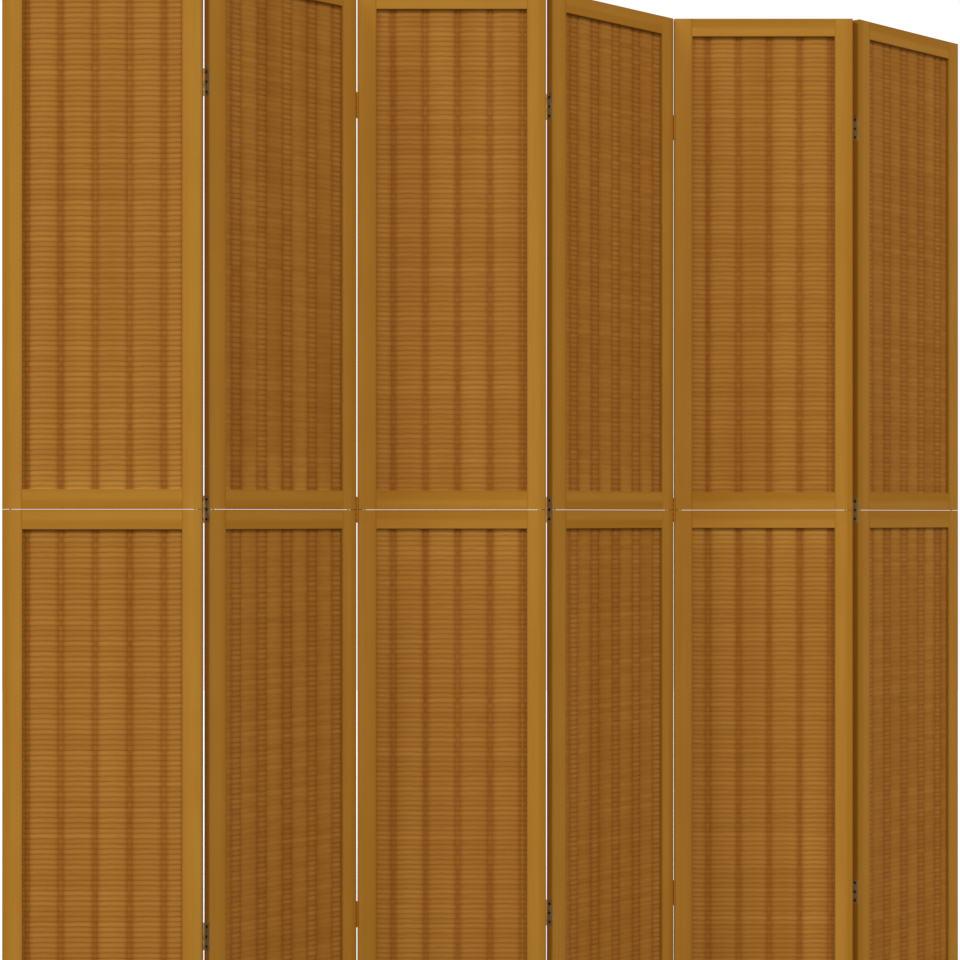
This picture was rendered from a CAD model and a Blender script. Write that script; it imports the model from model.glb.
"""A wooden folding screen with woven mats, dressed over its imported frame.

Lengths are in metres and angles in radians. X runs along the odd panels, Y from the front to the back and
Z up. The frames, hinges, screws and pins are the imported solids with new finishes. Each mat is woven anew
from its splints and stakes, and stands where its packed slab stands.
"""

import logging
import math
from dataclasses import dataclass, field
from enum import Enum
from typing import Any

import bpy
import numpy as np
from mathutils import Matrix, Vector


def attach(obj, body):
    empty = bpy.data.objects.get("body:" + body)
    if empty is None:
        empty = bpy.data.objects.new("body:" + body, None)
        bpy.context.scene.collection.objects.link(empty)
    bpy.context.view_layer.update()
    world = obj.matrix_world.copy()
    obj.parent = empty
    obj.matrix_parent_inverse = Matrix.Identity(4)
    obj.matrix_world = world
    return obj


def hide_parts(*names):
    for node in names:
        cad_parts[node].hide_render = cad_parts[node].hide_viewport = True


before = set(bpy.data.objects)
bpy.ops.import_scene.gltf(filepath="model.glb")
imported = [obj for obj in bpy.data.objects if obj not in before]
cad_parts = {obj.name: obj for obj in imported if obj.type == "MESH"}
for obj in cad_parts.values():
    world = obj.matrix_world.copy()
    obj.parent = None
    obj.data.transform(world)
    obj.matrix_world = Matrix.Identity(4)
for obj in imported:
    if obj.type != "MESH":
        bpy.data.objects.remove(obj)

LOG = logging.getLogger("folding_screen")
MM = 0.001
PANEL_COUNT = 6
FOLD_ANGLE = math.radians(46)

Colour = tuple[float, float, float]
WHITE: Colour = (1.0, 1.0, 1.0)


class GrainRun(Enum):
    """Direction of a board's grain, as the stretch of its pattern along X, Y and Z of the panel."""

    UPRIGHT = (1.0, 1.0, 0.02)
    LEVEL = (0.02, 1.0, 1.0)


class SocketKind(Enum):
    """The kinds of an effect's sockets."""

    NUMBER = "NodeSocketFloat"
    VECTOR = "NodeSocketVector"
    COLOUR = "NodeSocketColor"


class Half(Enum):
    """The two framed halves of a panel, by the word in their nodes' names."""

    UPPER = "upper"
    LOWER = "lower"


class Splint(Enum):
    """The two splints of a row. The value is 1 for the one that lies in front between narrow columns."""

    LONG_FLOAT = 1
    SHORT_FLOAT = -1


def srgb(red: float, green: float, blue: float) -> Colour:
    """Turns a colour as seen on a screen into the linear values that shaders take.

    Args:
        red: Red, 0 to 255.
        green: Green, 0 to 255.
        blue: Blue, 0 to 255.

    Returns:
        The linear values: each share raised by the screen's curve, with its straight foot below 0.04.
    """
    shares = [value / 255 for value in (red, green, blue)]
    linear = [s / 12.92 if s <= 0.04045 else ((s + 0.055) / 1.055) ** 2.4 for s in shares]
    return (linear[0], linear[1], linear[2])


def panel_angle(panel: int) -> float:
    """Turn of a panel about Z at rest: odd panels face the front, even ones recede to the right."""
    return 0.0 if panel % 2 else FOLD_ANGLE


def to_panel(panel: int) -> np.ndarray:
    """Matrix that turns rows of points from the object's frame into the panel's, about Z."""
    c, s = math.cos(panel_angle(panel)), math.sin(panel_angle(panel))
    return np.array([[c, -s, 0.0], [s, c, 0.0], [0.0, 0.0, 1.0]])


def extent_in_panel(panel: int, part: str) -> tuple[np.ndarray, np.ndarray]:
    """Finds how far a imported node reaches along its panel's own directions.

    Args:
        panel: The number of the panel.
        part: The node's name after the panel's.

    Returns:
        The lowest and the highest corner, in the panel's turned frame.
    """
    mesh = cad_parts[f"panel_{panel}_{part}"].data
    points = np.empty(3 * len(mesh.vertices), np.float32)
    mesh.vertices.foreach_get("co", points)
    turned = points.reshape(-1, 3) @ to_panel(panel)
    return turned.min(0), turned.max(0)


class Graph:
    """Adds nodes to one shader tree and joins their sockets."""

    def __init__(self, tree: bpy.types.NodeTree) -> None:
        """Keeps the tree of a material, a world or a group, and empties it."""
        self.tree = tree
        self.tree.nodes.clear()

    def add(self, kind: str, inputs: dict[Any, Any] | None = None, **settings: Any) -> bpy.types.Node:
        """Adds a node.

        Args:
            kind: The node's type, such as ShaderNodeMix.
            inputs: Values or sockets for the node's inputs, by name or number.
            settings: Properties of the node itself.

        Returns:
            The new node.
        """
        node = self.tree.nodes.new(kind)
        for name, value in settings.items():
            setattr(node, name, value)
        for key, value in (inputs or {}).items():
            socket = node.inputs[key]
            if isinstance(value, bpy.types.NodeSocket):
                self.tree.links.new(value, socket)
            elif socket.type == "RGBA":
                socket.default_value = (*value, 1.0)
            else:
                socket.default_value = value
        return node

    def effect(self, tree: bpy.types.NodeTree, inputs: dict[str, Any]) -> Any:
        """Places a shared effect and gives its outputs, by name."""
        return self.add("ShaderNodeGroup", inputs, node_tree=tree).outputs

    def spread(self, value: Any, low: float, high: float, to_low: float = 0.0, to_high: float = 1.0) -> Any:
        """Maps low..high to to_low..to_high, clamped, and gives the result's socket."""
        return self.add(
            "ShaderNodeMapRange",
            {"Value": value, "From Min": low, "From Max": high, "To Min": to_low, "To Max": to_high},
        ).outputs["Result"]

    def mix(self, factor: Any, first: Any, second: Any) -> Any:
        """Mixes two colours, inputs 6 and 7 of the node, and gives the socket of its output for colours."""
        return self.add("ShaderNodeMix", {0: factor, 6: first, 7: second}, data_type="RGBA").outputs[2]

    def maths(self, operation: str, first: Any, second: Any = 0.0, third: Any = 0.0) -> Any:
        """Works out one operation of up to three numbers and gives the result's socket."""
        return self.add("ShaderNodeMath", {0: first, 1: second, 2: third}, operation=operation).outputs[0]

    def scaled(self, vector: Any, factors: tuple[float, float, float]) -> Any:
        """Multiplies a vector by three factors and gives the result's socket."""
        return self.add("ShaderNodeVectorMath", {0: vector, 1: factors}, operation="MULTIPLY").outputs[0]

    def in_panel(self, panel: int) -> Any:
        """Turns Object coordinates to lie along a panel and gives the result's socket."""
        turn = {"Vector": self.place(), "Rotation": (0.0, 0.0, -panel_angle(panel))}
        return self.add("ShaderNodeMapping", turn).outputs[0]

    def place(self) -> Any:
        """Gives the socket of the Object coordinates."""
        return self.add("ShaderNodeTexCoord").outputs["Object"]

    def part(self, vector: Any, axis: str) -> Any:
        """Gives the socket of a vector's X, Y or Z."""
        return self.add("ShaderNodeSeparateXYZ", {0: vector}).outputs[axis]

    def noise(self, vector: Any, scale: Any, detail: float, roughness: float) -> Any:
        """Gives the socket of a noise, whose values lie mostly between 0.3 and 0.7."""
        inputs = {"Vector": vector, "Scale": scale, "Detail": detail, "Roughness": roughness}
        return self.add("ShaderNodeTexNoise", inputs).outputs["Fac"]

    def bump(self, height: Any, strength: float, distance: float) -> Any:
        """Turns a height into a bumpy normal and gives its socket."""
        inputs = {"Height": height, "Strength": strength, "Distance": distance}
        return self.add("ShaderNodeBump", inputs).outputs[0]


def make_group(name: str, inputs: dict[str, SocketKind], outputs: dict[str, SocketKind]) -> Graph:
    """Makes an empty shader group with named sockets.

    Args:
        name: The group's name.
        inputs: Kind of each input. Every material that places the group sets them all.
        outputs: Kind of each output.

    Returns:
        The graph of the group's node tree.
    """
    tree = bpy.data.node_groups.new(name, "ShaderNodeTree")
    for in_out, sockets in (("INPUT", inputs), ("OUTPUT", outputs)):
        for label, kind in sockets.items():
            tree.interface.new_socket(label, in_out=in_out, socket_type=kind.value)
    return Graph(tree)


class SharedEffects:
    """The shader groups that more than one finish uses.

    A pair that ends in SEEN, ROUGH or DEEP is the part of a noise that is spread over a whole mask. The
    pores add PORE_ROUGHNESS from their mask's low end to its high end, and the bands bend the pores by
    PORE_BEND.
    """

    BANDS_SEEN = (0.36, 0.64)
    PORES_SEEN = (0.52, 0.72)
    PORES_ROUGH = (0.3, 0.7)
    PORES_DEEP = (0.35, 0.7)
    BLOTCHES_SEEN = (0.38, 0.68)
    PORE_ROUGHNESS = (-0.05, 0.07)
    PORE_BEND = (0.012, 0.012, 0.0)

    def __init__(self) -> None:
        """Builds each group once."""
        self.grain = self.build_grain()
        self.mottle = self.build_mottle()

    def build_grain(self) -> bpy.types.NodeTree:
        """Builds the grain of a board or a splint.

        The vector comes stretched along the grain. Broad bands come from one noise. Fine pores come from
        a second noise, whose vector is bent a little by the first.

        Returns:
            The group, which puts out a colour, a roughness and a height.
        """
        colours = dict.fromkeys(("Ground", "Light", "Dark"), SocketKind.COLOUR)
        numbers = dict.fromkeys(("Band Scale", "Pore Scale", "Pore Depth", "Roughness"), SocketKind.NUMBER)
        graph = make_group(
            "grain", inputs={"Vector": SocketKind.VECTOR, **colours, **numbers},
            outputs={
                "Color": SocketKind.COLOUR, "Roughness": SocketKind.NUMBER, "Height": SocketKind.NUMBER,
            },
        )
        into = graph.add("NodeGroupInput").outputs
        bands = graph.noise(into["Vector"], into["Band Scale"], detail=3.0, roughness=0.5)
        drift = graph.add("ShaderNodeCombineXYZ", {"X": bands, "Y": bands}).outputs[0]
        bent = graph.add(
            "ShaderNodeVectorMath", {0: drift, 1: self.PORE_BEND, 2: into["Vector"]},
            operation="MULTIPLY_ADD",
        ).outputs[0]
        pores = graph.noise(bent, into["Pore Scale"], detail=4.0, roughness=0.6)
        tone = graph.mix(graph.spread(bands, *self.BANDS_SEEN), into["Ground"], into["Light"])
        lines = graph.maths("MULTIPLY", graph.spread(pores, *self.PORES_SEEN), into["Pore Depth"])
        rise = graph.spread(pores, *self.PORES_ROUGH, *self.PORE_ROUGHNESS)
        graph.add("NodeGroupOutput", {
            "Color": graph.mix(lines, tone, into["Dark"]),
            "Roughness": graph.maths("ADD", into["Roughness"], rise),
            "Height": graph.spread(pores, *self.PORES_DEEP, to_low=1.0, to_high=0.0),
        })
        return graph.tree

    def build_mottle(self) -> bpy.types.NodeTree:
        """Builds soft blotches that tint a colour, as uneven stain, handling and tarnish do.

        Returns:
            The group, which puts out the tinted colour and the blotches' mask.
        """
        graph = make_group(
            "mottle",
            inputs={
                "Vector": SocketKind.VECTOR, "Color": SocketKind.COLOUR, "Tint": SocketKind.COLOUR,
                "Scale": SocketKind.NUMBER, "Amount": SocketKind.NUMBER,
            },
            outputs={"Color": SocketKind.COLOUR, "Mask": SocketKind.NUMBER},
        )
        into = graph.add("NodeGroupInput").outputs
        cloud = graph.noise(into["Vector"], into["Scale"], detail=3.0, roughness=0.5)
        mask = graph.spread(cloud, *self.BLOTCHES_SEEN)
        share = graph.maths("MULTIPLY", mask, into["Amount"])
        graph.add("NodeGroupOutput", {"Color": graph.mix(share, into["Color"], into["Tint"]), "Mask": mask})
        return graph.tree


def new_material(name: str) -> tuple[bpy.types.Material, Graph]:
    """Makes a material with an empty node tree, and gives it and its graph."""
    material = bpy.data.materials.new(name)
    material.use_nodes = True
    return material, Graph(material.node_tree)


def finish_shader(graph: Graph, inputs: dict[str, Any]) -> None:
    """Ends a material in one Principled shader with the given inputs."""
    shader = graph.add("ShaderNodeBsdfPrincipled", inputs)
    graph.add("ShaderNodeOutputMaterial", {"Surface": shader.outputs[0]})


@dataclass(frozen=True)
class Grain:
    """Fine grain of a stained wood or bamboo, which hardly shines."""

    dark: Colour
    roughness: float
    band_scale: float
    pore_scale: float
    pore_depth: float
    bump: float
    bump_depth: float = 0.1 * MM
    shine: float = 0.02

    def lay(self, graph: Graph, effects: SharedEffects, vector: Any, ground: Any, light: Any) -> Any:
        """Places the shared grain on a vector stretched along it, and gives its outputs by name."""
        return graph.effect(effects.grain, {
            "Vector": vector, "Ground": ground, "Light": light, "Dark": self.dark,
            "Band Scale": self.band_scale, "Pore Scale": self.pore_scale,
            "Pore Depth": self.pore_depth, "Roughness": self.roughness,
        })

    def finish(self, graph: Graph, laid: Any, colour: Any) -> None:
        """Ends a material in a colour, with the roughness and the pores of the grain laid in it."""
        finish_shader(graph, {
            "Base Color": colour, "Roughness": laid["Roughness"],
            "Normal": graph.bump(laid["Height"], self.bump, self.bump_depth),
            "Specular IOR Level": self.shine,
        })


@dataclass(frozen=True)
class BoardSet:
    """The boards of a panel whose grain runs one way: how they are laid, and how their tone changes.

    The boards lie whole numbers of pitches apart along their axis, from the first node to the last. Each
    is browner on its heart side, which is the right or upper one where heart_far says so for the panel.
    The heart's colour ends between the two shares of the board's width in heart_fade. The end board that
    lies away from the heart side shows weak_heart of it. The edge is the dark stain's share at a board's
    edges. A small margin keeps the edges off the whole numbers of pitches.
    """

    run: GrainRun
    axis: str
    nodes: tuple[str, str]
    width: float
    pitches: int
    heart_far: tuple[bool, ...]
    heart_fade: tuple[float, float]
    weak_heart: float
    edge: float
    margin: float = 0.5 * MM

    def across(self, graph: Graph, place: Any, panel: int) -> tuple[Any, Any]:
        """Works out where a point lies across its board, and which board it is on.

        The place across is what is left of X or Z past a whole number of pitches, as a share of the
        board's width.

        Args:
            graph: The material's graph.
            place: The socket with places in the panel's frame.
            panel: The panel's number.

        Returns:
            A socket that goes from 0 at a board's left or lower edge to 1 at the other, and one that goes
            from 0 on the first board to 1 on the last.
        """
        axis = "XYZ".index(self.axis)
        first = extent_in_panel(panel, self.nodes[0])[0][axis]
        last = extent_in_panel(panel, self.nodes[1])[1][axis]
        pitch = float(last - first - self.width) / self.pitches
        start = float(first) - self.margin
        steps = graph.maths("MULTIPLY_ADD", graph.part(place, self.axis), 1 / pitch, -start / pitch)
        share = graph.maths("MULTIPLY", graph.maths("FRACT", steps), pitch / self.width)
        return share, graph.spread(steps, 1.0, float(self.pitches))

    def heart(self, graph: Graph, across: Any, way: Any, panel: int) -> Any:
        """Makes the socket that is high on the heart side of each board and falls to 0 near its middle.

        Args:
            graph: The material's graph.
            across: The socket with the place across the board.
            way: The socket that is 0 on the first board and 1 on the last.
            panel: The panel's number.

        Returns:
            The socket.
        """
        start, stop = self.heart_fade
        if self.heart_far[panel - 1]:
            share = graph.spread(across, 1 - stop, 1 - start)
            first, last = self.weak_heart, 1.0
        else:
            share = graph.spread(across, start, stop, to_low=1.0, to_high=0.0)
            first, last = 1.0, self.weak_heart
        return graph.maths("MULTIPLY", share, graph.spread(way, 0.0, 1.0, first, last))


STILES = BoardSet(
    run=GrainRun.UPRIGHT, axis="X", nodes=("upper_stiles", "upper_stiles"), width=36.5 * MM, pitches=8,
    heart_far=(False, True, True, True, True, False), heart_fade=(0.22, 0.45), weak_heart=0.35, edge=0.5,
)
RAILS = BoardSet(
    run=GrainRun.LEVEL, axis="Z", nodes=("lower_rails", "upper_rails"), width=36 * MM, pitches=53,
    heart_far=(False, False, True, False, True, True), heart_fade=(0.38, 0.6), weak_heart=1.0, edge=0.25,
)


@dataclass(frozen=True)
class FrameWood:
    """Honey-brown stained wood of the stiles and rails. Each board has a pale side and a heart side."""

    pale: Colour = srgb(169, 119, 43)
    pale_light: Colour = srgb(174, 124, 47)
    heart: Colour = srgb(160, 109, 34)
    heart_light: Colour = srgb(165, 114, 38)
    tint: Colour = srgb(163, 111, 36)
    tint_scale: float = 7.0
    tint_amount: float = 0.35
    edge_share: float = 0.12
    panel_shift: tuple[float, float, float] = (3.17, 1.31, 0.77)
    grain: Grain = Grain(
        dark=srgb(140, 91, 25), roughness=0.5, band_scale=55.0, pore_scale=420.0, pore_depth=0.22,
        bump=0.12, bump_depth=0.2 * MM,
    )

    def build(self, effects: SharedEffects, panel: int, boards: BoardSet) -> bpy.types.Material:
        """Makes the wood of one panel's stiles or rails.

        The grain reads Object coordinates, turned to lie along the panel. It is shifted for each panel,
        so that no two boards match. Each board browns towards its heart side and along its edges.

        Args:
            effects: The shared shader groups.
            panel: The panel's number, from 1.
            boards: The stiles or the rails.

        Returns:
            The material.
        """
        material, graph = new_material(f"frame_wood_{panel}_{boards.run.name.lower()}")
        place = graph.in_panel(panel)
        shift = tuple(panel * step for step in self.panel_shift)
        shifted = graph.add("ShaderNodeVectorMath", {0: place, 1: shift}, operation="ADD").outputs[0]
        across, way = boards.across(graph, place, panel)
        heart = boards.heart(graph, across, way, panel)
        ground = graph.mix(heart, self.pale, self.heart)
        light = graph.mix(heart, self.pale_light, self.heart_light)
        grain = self.grain.lay(graph, effects, graph.scaled(shifted, boards.run.value), ground, light)
        mottle = graph.effect(effects.mottle, {
            "Vector": shifted, "Color": grain["Color"], "Tint": self.tint, "Scale": self.tint_scale,
            "Amount": self.tint_amount,
        })
        to_edge = graph.maths("MINIMUM", across, graph.maths("SUBTRACT", 1.0, across))
        edge = graph.spread(to_edge, 0.0, self.edge_share, boards.edge, 0.0)
        self.grain.finish(graph, grain, graph.mix(edge, mottle["Color"], self.grain.dark))
        return material


@dataclass(frozen=True)
class SplintBamboo:
    """Stained bamboo of the splints, whose grain runs along each splint."""

    pale: Colour = srgb(180, 127, 53)
    deep: Colour = srgb(139, 82, 27)
    pale_light: Colour = srgb(188, 134, 59)
    deep_light: Colour = srgb(145, 88, 31)
    groove: Colour = srgb(104, 60, 12)
    groove_start: float = 0.2
    groove_amount: float = 0.42
    stretch: tuple[float, float, float] = (0.06, 1.0, 1.0)
    grain: Grain = Grain(
        dark=srgb(122, 74, 20), roughness=0.55, band_scale=0.5, pore_scale=4.0, pore_depth=0.35, bump=0.15,
    )

    def build(self, effects: SharedEffects) -> bpy.types.Material:
        """Makes the bamboo.

        The grain reads the splints' UV map, which is measured in splint heights. A face of a splint spans
        one unit across, so the fraction of V gives the way to its edges, where stain has gathered. The tone
        attribute gives the share of the pale and the deep stain.

        Args:
            effects: The shared shader groups.

        Returns:
            The material.
        """
        material, graph = new_material("splint_bamboo")
        strip = graph.add("ShaderNodeUVMap", uv_map=SplintMesh.UV_MAP).outputs[0]
        tone = graph.add("ShaderNodeAttribute", attribute_name=SplintMesh.TONE).outputs["Fac"]
        ground = graph.mix(tone, self.deep, self.pale)
        light = graph.mix(tone, self.deep_light, self.pale_light)
        grain = self.grain.lay(graph, effects, graph.scaled(strip, self.stretch), ground, light)
        across = graph.maths("FRACT", graph.part(strip, "Y"))
        to_edge = graph.maths("ABSOLUTE", graph.maths("MULTIPLY_ADD", across, 2.0, -1.0))
        groove = graph.spread(to_edge, self.groove_start, 1.0, 0.0, self.groove_amount)
        self.grain.finish(graph, grain, graph.mix(groove, grain["Color"], self.groove))
        return material


@dataclass(frozen=True)
class StakeBamboo:
    """Round bamboo of the upright stakes, darker than the splints that hide most of it."""

    ground: Colour = srgb(140, 88, 30)
    light: Colour = srgb(152, 98, 38)
    grain: Grain = Grain(
        dark=srgb(100, 58, 18), roughness=0.55, band_scale=300.0, pore_scale=900.0, pore_depth=0.4, bump=0.2,
    )

    def build(self, effects: SharedEffects) -> bpy.types.Material:
        """Makes the stakes' bamboo, with upright grain on Object coordinates.

        Args:
            effects: The shared shader groups.

        Returns:
            The material.
        """
        material, graph = new_material("stake_bamboo")
        upright = graph.scaled(graph.place(), GrainRun.UPRIGHT.value)
        grain = self.grain.lay(graph, effects, upright, self.ground, self.light)
        self.grain.finish(graph, grain, grain["Color"])
        return material


@dataclass(frozen=True)
class HingeMetal:
    """Metal of a hinge part, dulled by tarnish in blotches."""

    name: str
    bright: Colour
    tarnish: Colour
    roughness: float
    tarnish_scale: float = 90.0
    tarnish_amount: float = 0.8
    tarnish_roughness: float = 0.18
    tarnish_metallic: float = 0.75
    bump: float = 0.1
    bump_depth: float = 0.1 * MM
    aged: Colour = srgb(148, 90, 24)

    def build(self, effects: SharedEffects, panel: int = 0) -> bpy.types.Material:
        """Makes the metal. Where it is tarnished it is darker, rougher and less metallic.

        Args:
            effects: The shared shader groups.
            panel: The panel whose one end is aged brown, or 0 for metal that is the same everywhere.

        Returns:
            The material.
        """
        material, graph = new_material(f"{self.name}_{panel}" if panel else self.name)
        mottle = graph.effect(effects.mottle, {
            "Vector": graph.place(), "Color": self.bright, "Tint": self.tarnish,
            "Scale": self.tarnish_scale, "Amount": self.tarnish_amount,
        })
        tarnished = mottle["Mask"]
        dulled = self.roughness + self.tarnish_roughness
        aged = self.aged_side(graph, panel) if panel else 0.0
        metallic = graph.spread(tarnished, 0.0, 1.0, 1.0, self.tarnish_metallic)
        finish_shader(graph, {
            "Base Color": graph.mix(aged, mottle["Color"], self.aged),
            "Roughness": graph.spread(tarnished, 0.0, 1.0, self.roughness, dulled),
            "Normal": graph.bump(tarnished, self.bump, self.bump_depth),
            "Metallic": graph.maths("MAXIMUM", metallic, aged),
        })
        return material

    @staticmethod
    def aged_side(graph: Graph, panel: int) -> Any:
        """Makes the socket that is 1 at a panel's end with knuckles in front, which have browned."""
        low, high = extent_in_panel(panel, "upper_stiles")
        side = "LESS_THAN" if panel % 2 else "GREATER_THAN"
        return graph.maths(side, graph.part(graph.in_panel(panel), "X"), float(low[0] + high[0]) / 2)


BRASS = HingeMetal(
    "antique_brass", bright=srgb(176, 150, 104), tarnish=srgb(128, 106, 68), roughness=0.42,
    tarnish_amount=0.6,
)
SCREW_METAL = HingeMetal(
    "blackened_screw", bright=srgb(60, 48, 34), tarnish=srgb(28, 20, 12), roughness=0.45,
    tarnish_scale=260.0,
)
PIN_STEEL = HingeMetal(
    "pin_steel", bright=srgb(150, 146, 136), tarnish=srgb(100, 92, 80), roughness=0.32,
    tarnish_scale=160.0, tarnish_amount=0.5,
)


@dataclass
class SplintMesh:
    """The splints of a mat as plain arrays: ring points, quads and what each corner of a quad carries."""

    UV_MAP = "along_splint"
    TONE = "tone"

    points: np.ndarray
    quads: np.ndarray
    normals: np.ndarray
    uvs: np.ndarray
    tones: np.ndarray

    @staticmethod
    def joined(parts: list["SplintMesh"]) -> "SplintMesh":
        """Puts several sets of splints into one, with the quads numbered on."""
        starts = np.cumsum([0] + [len(part.points) for part in parts[:-1]])
        return SplintMesh(
            np.concatenate([part.points for part in parts]),
            np.concatenate([part.quads + start for part, start in zip(parts, starts)]),
            np.concatenate([part.normals for part in parts]),
            np.concatenate([part.uvs for part in parts]),
            np.concatenate([part.tones for part in parts]),
        )

    def to_object(self, name: str) -> bpy.types.Object:
        """Makes the mesh object and links it to the scene."""
        obj = quad_object(name, self.points, self.quads)
        mesh = obj.data
        layer = mesh.uv_layers.new(name=self.UV_MAP)
        layer.data.foreach_set("uv", self.uvs.astype(np.float32).ravel())
        tone = mesh.attributes.new(self.TONE, "FLOAT", "POINT")
        tone.data.foreach_set("value", self.tones.astype(np.float32))
        mesh.normals_split_custom_set(self.normals.astype(np.float32))
        return obj


def quad_object(name: str, points: np.ndarray, quads: np.ndarray) -> bpy.types.Object:
    """Makes a smooth mesh object of quads.

    Args:
        name: The object's name.
        points: Points, three numbers each.
        quads: Four point numbers for each quad, anticlockwise from outside.

    Returns:
        The object, linked to the scene.
    """
    mesh = bpy.data.meshes.new(name)
    mesh.vertices.add(len(points))
    mesh.vertices.foreach_set("co", points.astype(np.float32).ravel())
    mesh.loops.add(quads.size)
    mesh.loops.foreach_set("vertex_index", quads.astype(np.int32).ravel())
    mesh.polygons.add(len(quads))
    mesh.polygons.foreach_set("loop_start", np.arange(0, quads.size, 4, dtype=np.int32))
    mesh.polygons.foreach_set("use_smooth", np.ones(len(quads), bool))
    mesh.update(calc_edges=True)
    obj = bpy.data.objects.new(name, mesh)
    bpy.context.scene.collection.objects.link(obj)
    return obj


def tube_quads(number: np.ndarray) -> np.ndarray:
    """Joins each ring of points to the next one along its tube.

    Args:
        number: The point numbers, by tube, ring and place round the ring.

    Returns:
        The quads, each from a point to the next ring, onward round it and back.
    """
    near, far = number[:, :-1], number[:, 1:]
    onward = np.roll(np.arange(number.shape[2]), -1)
    return np.stack([near, far, far[..., onward], near[..., onward]], axis=-1).reshape(-1, 4)


def soft_waves(rng: np.random.Generator, along: np.ndarray, up: np.ndarray, lengths: tuple[float, float],
               count: int = 7) -> np.ndarray:
    """Works out a smooth random field over a mat.

    It is the sum of a few sine waves of random direction and phase, divided by the root of their number,
    so that most of its values lie between -1 and 1.

    Args:
        rng: The random numbers.
        along: Places along the mat.
        up: Heights, of a shape that broadcasts with along.
        lengths: Typical wave lengths along the mat and up it.
        count: How many waves are summed.

    Returns:
        The field's values.
    """
    field_sum = 0.0
    for _ in range(count):
        turns = rng.uniform(-1, 1, 2)
        phase = rng.uniform(0, 2 * math.pi)
        field_sum = field_sum + np.sin(
            2 * math.pi * (turns[0] * along / lengths[0] + turns[1] * up / lengths[1]) + phase
        )
    return field_sum / math.sqrt(count)


@dataclass(frozen=True)
class FloatLook:
    """Look of a splint's floats, the stretches between its creases.

    The tone is their share of the pale stain. The crown says how far their normals lean, as a share of
    the mat's own crown. The span says how much of the way to their stained edges they show.
    """

    tone: float
    crown: float = 1.0
    span: float = 1.0


@dataclass(frozen=True)
class Binding:
    """How the splints of a row change places about a narrow column.

    A splint crosses the mat's mid-plane narrow_half from the column's middle. The held end is the length
    at a mat's right end over which the splints keep their places. The stations are the places of a
    splint's rings about each column's middle, in millimetres.
    """

    narrow_half: float
    turn_length: float
    arch: float
    crease_tone: float
    long_float: FloatLook
    short_float: FloatLook
    held_end: float
    stations: tuple[float, ...]

    def look(self, kind: Splint) -> FloatLook:
        """Gives the look of one splint's floats."""
        return self.long_float if kind is Splint.LONG_FLOAT else self.short_float


CLOSE_BINDING = Binding(
    narrow_half=3.6 * MM, turn_length=4.6 * MM, arch=0.9 * MM, crease_tone=0.17,
    long_float=FloatLook(tone=0.58), short_float=FloatLook(tone=0.19), held_end=0.0,
    stations=(-31.3, -14, -9, -6, -3, 0, 3, 6, 9, 14),
)
OPEN_BINDING = Binding(
    narrow_half=11.2 * MM, turn_length=5.2 * MM, arch=1.0 * MM, crease_tone=0.18,
    long_float=FloatLook(tone=0.455, crown=0.5, span=0.55),
    short_float=FloatLook(tone=0.5, crown=1.9, span=0.92), held_end=12 * MM,
    stations=(-31.3, -21, -17, -13.7, -11.2, -8.7, -5, 5, 8.7, 11.2, 13.7, 17, 21),
)


@dataclass(frozen=True)
class Weave:
    """Sizes of the weave, the same in all the mats, and what is read from the photo for each panel.

    For each panel, the crowns are how far a mat's normals lean on the shoulders, in degrees, the pale
    ends say which half is worn pale by the slit, and the first columns are the way from the panel's
    left edge to its first narrow column, in millimetres. The jitters are typical chance shifts, and
    row_tone and streak_tone are chance shares of the pale stain. Each pair of waves holds the typical
    wave lengths along the mat and up it.
    """

    crowns: tuple[float, ...] = (5.6, 4.0, 3.4, 4.0, 3.4, 4.0)
    pale_ends: tuple[Half, ...] = (Half.UPPER, Half.UPPER, Half.LOWER, Half.UPPER, Half.LOWER, Half.LOWER)
    first_columns: tuple[float, ...] = (43.2, 67.9, 67.8, 67.9, 68.4, 46.0)
    pale_reach: float = 40 * MM
    pale_tone: float = 0.45

    row_pitch: float = 9.455 * MM
    column_pitch: float = 62.6 * MM
    splint_height: float = 10.2 * MM
    splint_thickness: float = 1.2 * MM
    flat_share: float = 0.5
    swing: float = 2.0 * MM
    end_margin: float = 2 * MM
    height_jitter: float = 0.13 * MM
    height_waves: tuple[float, float] = (0.12, 0.03)
    depth_jitter: float = 0.1 * MM
    depth_waves: tuple[float, float] = (0.2, 0.02)
    row_tone: float = 0.06
    streak_tone: float = 0.07
    streak_waves: tuple[float, float] = (0.07, 1.2)

    stakes_per_column: int = 3
    stake_radius: float = 1.2 * MM
    stake_sides: int = 8
    stake_rings: int = 9
    stake_margin: float = 3 * MM
    stake_jitter: float = 0.2 * MM
    stake_waves: tuple[float, float] = (0.05, 0.5)


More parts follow.
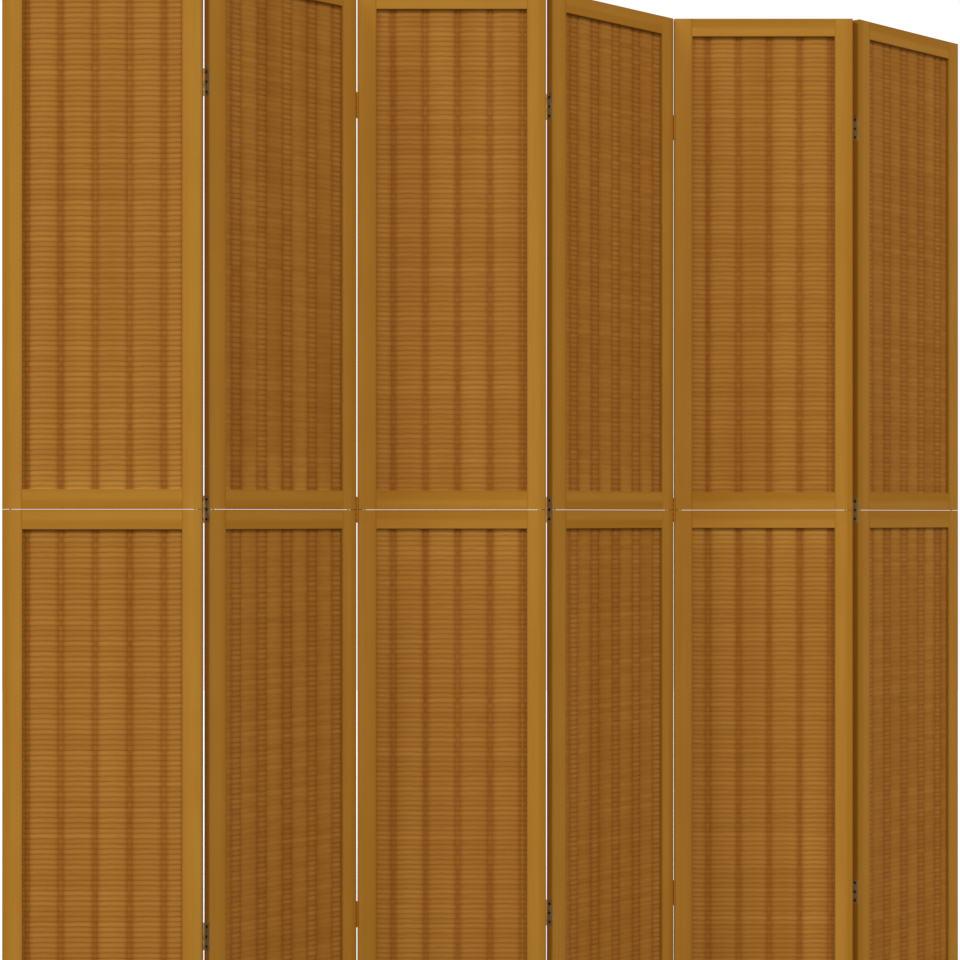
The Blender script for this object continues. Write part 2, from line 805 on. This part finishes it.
@dataclass
class WovenMat:
    """A mat in one half of a panel: rows of two splints that change places at each crease."""

    panel: int
    half: Half
    binding: Binding
    weave: Weave = field(default_factory=Weave)

    def __post_init__(self) -> None:
        """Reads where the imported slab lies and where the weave's columns fall on it."""
        self.name = f"panel_{self.panel}_{self.half.value}"
        self.node = f"{self.name}_weave"
        self.low, self.high = extent_in_panel(self.panel, f"{self.half.value}_weave")
        self.mid_plane = (self.low[1] + self.high[1]) / 2
        panel_left = extent_in_panel(self.panel, f"{self.half.value}_stiles")[0][0]
        self.first_column = panel_left + self.weave.first_columns[self.panel - 1] * MM
        self.rng = np.random.default_rng(10 * self.panel + list(Half).index(self.half))

    def spaced(self, pitch: float, steps: np.ndarray, margin: float) -> np.ndarray:
        """Finds the places along the mat that lie at the same steps about every pitch.

        Args:
            pitch: The distance from one middle to the next, counted both ways from the first column.
            steps: Steps from each middle.
            margin: How far from the mat's ends the places stay.

        Returns:
            The places, in order.
        """
        reach = math.ceil((self.high[0] - self.low[0]) / pitch) + 1
        middles = self.first_column + pitch * np.arange(-reach, reach + 1)
        places = (middles[:, None] + steps).ravel()
        return places[(places > self.low[0] + margin) & (places < self.high[0] - margin)]

    def stations(self) -> np.ndarray:
        """Places along the mat where a splint has a ring of points, closest at the creases."""
        steps = np.array(self.binding.stations) * MM
        inside = self.spaced(self.weave.column_pitch, steps, self.weave.end_margin)
        return np.concatenate([[self.low[0]], inside, [self.high[0]]])

    def from_column(self, places: np.ndarray) -> np.ndarray:
        """Distance of each place from the middle of the nearest narrow column."""
        pitch = self.weave.column_pitch
        return np.abs((places - self.first_column + pitch / 2) % pitch - pitch / 2)

    def row_heights(self) -> np.ndarray:
        """Heights of the rows' middles, spread evenly over the mat."""
        tall = self.high[2] - self.low[2]
        count = int(tall / self.weave.row_pitch)
        rest = tall - count * self.weave.row_pitch
        return self.low[2] + rest / 2 + (np.arange(count) + 0.5) * self.weave.row_pitch

    def worn(self, rows: np.ndarray) -> np.ndarray:
        """Extra share of the pale stain of each row, which falls off from the mat's end by the slit."""
        if self.weave.pale_ends[self.panel - 1] is not self.half:
            return np.zeros_like(rows)
        end = self.low[2] if self.half is Half.UPPER else self.high[2]
        return self.weave.pale_tone * np.exp(-np.abs(rows - end) / self.weave.pale_reach)

    def stakes(self) -> tuple[np.ndarray, np.ndarray]:
        """Works out the upright stakes.

        Each is a circle carried up the mat's mid-plane, which wanders a little from side to side by a
        smooth random wave.

        Returns:
            The points and the quads.
        """
        weave = self.weave
        places = self.spaced(weave.column_pitch / weave.stakes_per_column, np.zeros(1), weave.stake_margin)
        levels = np.linspace(self.low[2], self.high[2], weave.stake_rings)
        angles = np.linspace(0, 2 * math.pi, weave.stake_sides, endpoint=False)
        wander = soft_waves(self.rng, places[:, None], levels[None, :], weave.stake_waves)
        middles = places[:, None] + wander * weave.stake_jitter
        shape = (len(places), len(levels), len(angles))
        points = np.stack([
            middles[:, :, None] + weave.stake_radius * np.cos(angles),
            np.broadcast_to(self.mid_plane + weave.stake_radius * np.sin(angles), shape),
            np.broadcast_to(levels[None, :, None], shape),
        ], axis=-1)
        # These rings run the other way about their tube than a splint's, so the quads are turned over.
        quads = tube_quads(np.arange(points[..., 0].size).reshape(shape))[:, [0, 3, 2, 1]]
        return points.reshape(-1, 3) @ to_panel(self.panel).T, quads

    def build(self, splint_finish: bpy.types.Material, stake_finish: bpy.types.Material) -> None:
        """Makes the mat's two pieces in place of its packed slab.

        Args:
            splint_finish: The splints' material.
            stake_finish: The stakes' material.
        """
        splints = SplintMesh.joined([SplintRows(self, kind).mesh() for kind in Splint])
        pieces = (
            (splints.to_object(f"{self.name}_splints"), splint_finish),
            (quad_object(f"{self.name}_stakes", *self.stakes()), stake_finish),
        )
        for piece, material in pieces:
            piece.data.materials.append(material)
            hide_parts(self.node)
            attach(piece, f"panel_{self.panel}")
            LOG.info("%s: %d faces", piece.name, len(piece.data.polygons))


class SplintRows:
    """All the splints of one kind in a mat.

    Seen from above, a splint's middle lies at the mat's mid-plane less swing times its facing, which is
    the hyperbolic tangent of its distance past the crease over the turn's length. So it runs in front on
    one side of each crease and behind on the other. Its height follows a shallow cosine arch from column
    to column. Arrays hold a row for each splint and a column for each station.
    """

    def __init__(self, mat: WovenMat, kind: Splint) -> None:
        """Works out the run and the stain of the splints.

        Args:
            mat: The mat.
            kind: Which splint of each row.
        """
        binding, weave = mat.binding, mat.weave
        self.mat = mat
        self.kind = kind
        self.look = binding.look(kind)
        self.along = mat.stations()
        self.rows = mat.row_heights()[:, None]
        held = np.minimum(self.along, mat.high[0] - binding.held_end)
        past = mat.from_column(held) - binding.narrow_half
        facing = kind.value * np.tanh(past / binding.turn_length)
        beat = np.cos(2 * math.pi * (self.along - mat.first_column) / weave.column_pitch)
        height = self.rows - 0.5 * binding.arch * beat
        self.height = height + self.waves(weave.height_waves) * weave.height_jitter
        depth = mat.mid_plane - weave.swing * facing
        self.depth = depth + self.waves(weave.depth_waves) * weave.depth_jitter
        self.tone = self.stain(facing)

    def waves(self, lengths: tuple[float, float]) -> np.ndarray:
        """Gives a smooth random value for each station of each splint."""
        return soft_waves(self.mat.rng, self.along, self.rows, lengths)

    def stain(self, facing: np.ndarray) -> np.ndarray:
        """Works out the splints' shares of the pale stain.

        The share goes from the crease's to the floats' by the square of the facing. Each row is a little
        paler or darker by chance, and soft streaks run up the mat.

        Args:
            facing: Each station's way out of the mid-plane, from -1 to 1.

        Returns:
            The shares.
        """
        crease, weave = self.mat.binding.crease_tone, self.mat.weave
        floats = self.look.tone
        if self.kind is Splint.LONG_FLOAT:
            floats = floats + self.mat.worn(self.rows)
        chance = self.mat.rng.uniform(-weave.row_tone, weave.row_tone, self.rows.shape)
        tone = crease + (floats - crease) * facing**2 + chance
        return tone + weave.streak_tone * self.waves(weave.streak_waves)

    def rings(self) -> np.ndarray:
        """Works out the points in the panel's frame, in a ring of six at each station.

        A ring has two thin edges, which lap those of the next rows, and a flat with rounded shoulders on
        the front and on the back.

        Returns:
            The points, by row, station and place round the ring.
        """
        weave = self.mat.weave
        flat = weave.flat_share
        ring_up = np.array([-1.0, -flat, flat, 1.0, flat, -flat])
        ring_in = np.array([0.0, -1.0, -1.0, 0.0, 1.0, 1.0])
        return np.stack([
            np.broadcast_to(self.along[None, :, None], (*self.depth.shape, ring_up.size)),
            self.depth[:, :, None] + ring_in * weave.splint_thickness / 2,
            self.height[:, :, None] + ring_up * weave.splint_height / 2,
        ], axis=-1)

    def normals(self) -> np.ndarray:
        """Works out the normals at the corners of the side quads.

        They lean out from the middle of each face towards its edges, twice as far on the thin edges as
        on the shoulders, so that a face looks round.

        Returns:
            A normal for each corner, in the panel's frame and not yet of length 1.
        """
        slope = np.gradient(self.depth, self.along, axis=1)
        length = np.sqrt(1 + slope**2)
        outward = np.stack([slope / length, -1 / length, np.zeros_like(slope)], axis=-1)
        crown = math.radians(self.mat.weave.crowns[self.mat.panel - 1]) * self.look.crown
        leans = [np.array([0.0, 0.0, math.sin(crown * share)]) for share in (-2, -1, 1, 2)]
        front = [outward + lean for lean in leans]
        back = [lean - outward for lean in reversed(leans)]
        return np.stack([
            np.stack([first[:, :-1], first[:, 1:], second[:, 1:], second[:, :-1]], axis=2)
            for face in (front, back) for first, second in zip(face[:-1], face[1:])
        ], axis=2).reshape(-1, 3)

    def uvs(self) -> np.ndarray:
        """Works out the UV places of the corners of the side quads, in splint heights.

        U runs along a splint. V spans one unit across the front and the next across the back. Each row
        has four units of V, the long float's two and then the short float's.

        Returns:
            A UV place for each corner.
        """
        flat = self.mat.weave.flat_share
        first_unit = 0.0 if self.kind is Splint.LONG_FLOAT else 2.0
        units = 4.0 * np.arange(len(self.rows))[:, None, None] + first_unit
        face_v = 0.5 + 0.5 * self.look.span * np.array([-1, -flat, flat, 1])
        near_v = np.concatenate([face_v[:-1], 1 + face_v[:-1]])
        far_v = np.concatenate([face_v[1:], 1 + face_v[1:]])
        places = self.along[None, :, None] / self.mat.weave.splint_height
        start, stop = places[:, :-1], places[:, 1:]
        full = (len(self.rows), len(self.along) - 1, near_v.size)
        return np.stack([
            np.stack([np.broadcast_to(u, full), np.broadcast_to(units + v, full)], axis=-1)
            for u, v in ((start, near_v), (stop, near_v), (stop, far_v), (start, far_v))
        ], axis=3).reshape(-1, 2)

    @staticmethod
    def cap_quads(rings: np.ndarray) -> np.ndarray:
        """Closes rings of six points with two quads each, which meet across the middle of the ring."""
        return np.concatenate([rings[:, [0, 1, 2, 3]], rings[:, [0, 3, 4, 5]]])

    def mesh(self) -> SplintMesh:
        """Joins the rings into splints that are closed at both ends.

        Returns:
            The splints' arrays, in the object's frame.
        """
        turn_back = to_panel(self.mat.panel).T
        points = self.rings()
        number = np.arange(points[..., 0].size).reshape(points.shape[:3])
        caps = np.concatenate([self.cap_quads(number[:, 0]), self.cap_quads(number[:, -1][:, ::-1])])
        cap_normals = np.repeat([[-1.0, 0.0, 0.0], [1.0, 0.0, 0.0]], caps.size // 2, axis=0)
        normals = np.concatenate([self.normals(), cap_normals]) @ turn_back
        return SplintMesh(
            points=points.reshape(-1, 3) @ turn_back,
            quads=np.concatenate([tube_quads(number), caps]),
            normals=normals / np.linalg.norm(normals, axis=1, keepdims=True),
            uvs=np.concatenate([self.uvs(), np.zeros((caps.size, 2))]),
            tones=np.broadcast_to(self.tone[:, :, None], number.shape).ravel(),
        )


@dataclass
class Panel:
    """One panel of the screen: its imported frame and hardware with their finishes, and its two mats."""

    number: int
    effects: SharedEffects
    wood: FrameWood = field(default_factory=FrameWood)

    @property
    def binding(self) -> Binding:
        """The mats of the odd panels are bound more closely than those of the even ones."""
        return CLOSE_BINDING if self.number % 2 else OPEN_BINDING

    def dress(self, part: str, material: bpy.types.Material) -> None:
        """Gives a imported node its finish.

        Args:
            part: The node's name after the panel's.
            material: The finish.
        """
        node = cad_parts.get(f"panel_{self.number}_{part}")
        if node is None:
            return
        for slot in node.material_slots:
            slot.material = material
        LOG.info("%s: %s", node.name, material.name)

    def build(self, finishes: dict[str, bpy.types.Material]) -> None:
        """Dresses the frame and the hardware and weaves the mats.

        Args:
            finishes: The shared materials by name.
        """
        stile_wood = self.wood.build(self.effects, self.number, STILES)
        rail_wood = self.wood.build(self.effects, self.number, RAILS)
        for half in Half:
            self.dress(f"{half.value}_stiles", stile_wood)
            self.dress(f"{half.value}_rails", rail_wood)
            WovenMat(self.number, half, self.binding).build(finishes["splint"], finishes["stake"])
        self.dress("hinge_leaves", BRASS.build(self.effects, self.number))
        self.dress("hinge_screws", finishes["screw"])
        self.dress("hinge_pins", finishes["pin"])
        self.dress("joining_pins", finishes["pin"])


@dataclass(frozen=True)
class SoftSun:
    """A distant soft lamp, by where it stands as seen from the screen. Angles are in degrees."""

    DISTANCE = 5.0

    name: str
    to_the_right: float
    above: float
    spread: float
    strength: float
    colour: Colour

    def build(self) -> None:
        """Makes the lamp, turned towards the screen."""
        side, up = math.radians(self.to_the_right), math.radians(self.above)
        towards = Vector((math.sin(side) * math.cos(up), -math.cos(side) * math.cos(up), math.sin(up)))
        light = bpy.data.lights.new(self.name, "SUN")
        light.angle = math.radians(self.spread)
        light.energy = self.strength
        light.color = self.colour
        lamp = bpy.data.objects.new(self.name, light)
        lamp.location = towards * self.DISTANCE
        lamp.rotation_euler = towards.to_track_quat("Z", "Y").to_euler()
        bpy.context.scene.collection.objects.link(lamp)


@dataclass
class Studio:
    """Plain pale floor, soft lamps and the photograph's camera."""

    camera_place: tuple[float, float, float] = (-0.0788, -4.831, 0.9864)
    camera_sensor: float = 36.0
    camera_lens: float = 91.392
    camera_rise: float = 0.0383
    camera_reach: tuple[float, float] = (0.1, 100.0)
    world_light: float = 0.5
    floor_dim: Colour = (0.2, 0.2, 0.2)
    floor_paper: Colour = (0.9, 0.9, 0.9)
    floor_glow: float = 0.12
    floor_half: float = 9.0
    lamps: tuple[SoftSun, ...] = (
        SoftSun("key_lamp", -56, 30, 18, 1.27, (0.95, 1.06, 1.26)),
        SoftSun("fill_lamp", 23, 36, 35, 1.5, (1.05, 0.96, 0.83)),
        SoftSun("front_lamp", -20, 8, 50, 0.26, WHITE),
        SoftSun("back_lamp", 150, 35, 40, 1.5, WHITE),
    )

    def build(self) -> None:
        """Makes the floor, the world, the lamps and the camera."""
        self.build_floor()
        self.build_world()
        for lamp in self.lamps:
            lamp.build()
        self.build_camera()

    @staticmethod
    def seen_directly(graph: Graph) -> Any:
        """Makes the socket that is 1 for rays seen straight, in reflections and through glass."""
        path = graph.add("ShaderNodeLightPath").outputs
        seen = graph.maths("MAXIMUM", path["Is Camera Ray"], path["Is Glossy Ray"])
        return graph.maths("MAXIMUM", seen, path["Is Transmission Ray"])

    def build_floor(self) -> None:
        """Makes the floor, a flat square that keeps the screen's shadow and looks white beside it.

        Seen directly it is white paper with a little glow. For light that bounces off it, it is a dimmer
        grey, so that the screen isn't lit from below.
        """
        half = self.floor_half
        points = np.array([[-half, -half, 0], [half, -half, 0], [half, half, 0], [-half, half, 0]])
        floor = quad_object("floor", points, np.array([[0, 1, 2, 3]]))
        material, graph = new_material("floor_paper")
        dim = graph.add("ShaderNodeBsdfDiffuse", {"Color": self.floor_dim}).outputs[0]
        paper = graph.add("ShaderNodeBsdfDiffuse", {"Color": self.floor_paper}).outputs[0]
        glow = graph.add("ShaderNodeEmission", {"Color": WHITE, "Strength": self.floor_glow}).outputs[0]
        lit = graph.add("ShaderNodeAddShader", {0: paper, 1: glow}).outputs[0]
        surface = graph.add("ShaderNodeMixShader", {0: self.seen_directly(graph), 1: dim, 2: lit})
        graph.add("ShaderNodeOutputMaterial", {"Surface": surface.outputs[0]})
        floor.data.materials.append(material)

    def build_world(self) -> None:
        """Makes a white world that lights the screen softly and is seen at full white."""
        world = bpy.data.worlds.new("white_room")
        world.use_nodes = True
        graph = Graph(world.node_tree)
        light = graph.add("ShaderNodeBackground", {"Color": WHITE, "Strength": self.world_light}).outputs[0]
        white = graph.add("ShaderNodeBackground", {"Color": WHITE, "Strength": 1.0}).outputs[0]
        mixed = graph.add("ShaderNodeMixShader", {0: self.seen_directly(graph), 1: light, 2: white})
        graph.add("ShaderNodeOutputWorld", {"Surface": mixed.outputs[0]})
        bpy.context.scene.world = world

    def build_camera(self) -> None:
        """Makes the camera, level and looking along Y, with its frame raised above the horizon."""
        data = bpy.data.cameras.new("camera")
        data.sensor_width = self.camera_sensor
        data.lens = self.camera_lens
        data.shift_y = self.camera_rise
        data.clip_start, data.clip_end = self.camera_reach
        camera = bpy.data.objects.new("camera", data)
        camera.location = self.camera_place
        camera.rotation_euler = (math.radians(90), 0.0, 0.0)
        bpy.context.scene.collection.objects.link(camera)
        bpy.context.scene.camera = camera


def main() -> None:
    """Builds the screen and its studio."""
    logging.basicConfig(level=logging.INFO, format="%(name)s %(message)s")
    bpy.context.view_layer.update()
    bpy.context.scene.view_settings.view_transform = "Standard"
    effects = SharedEffects()
    finishes = {
        "splint": SplintBamboo().build(effects),
        "stake": StakeBamboo().build(effects),
        "screw": SCREW_METAL.build(effects),
        "pin": PIN_STEEL.build(effects),
    }
    for number in range(1, PANEL_COUNT + 1):
        Panel(number, effects).build(finishes)
    Studio().build()


if __name__ == "__main__":
    main()
